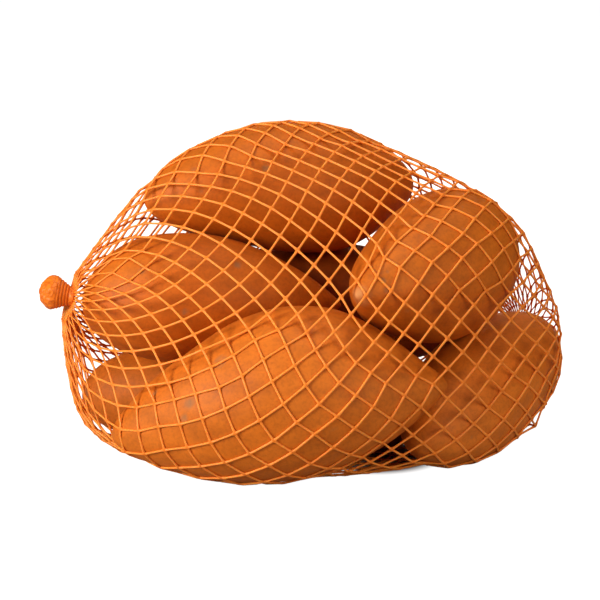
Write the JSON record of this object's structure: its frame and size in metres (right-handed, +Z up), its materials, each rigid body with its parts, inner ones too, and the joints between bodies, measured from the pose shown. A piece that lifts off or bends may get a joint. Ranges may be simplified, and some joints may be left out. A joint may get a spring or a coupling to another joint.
{
  "type": "net of sweet potatoes",
  "caption": "Knotted orange plastic net packed with whole raw sweet potatoes, lying on its side with a gathered knot at each end.",
  "frame": {"origin": "middle of the bounding box, on the surface the net lies on", "axes": "+X to the right of the front view, along the net from the left knot; +Y away from the front; +Z up"},
  "size_m": [0.2155, 0.1552, 0.1337],
  "materials": {
    "net": "satin",
    "potato_skin": "matt, smooth raw skin"
  },
  "bodies": {
    "root": {"net_bag": "net"}
  },
  "joints": []
}
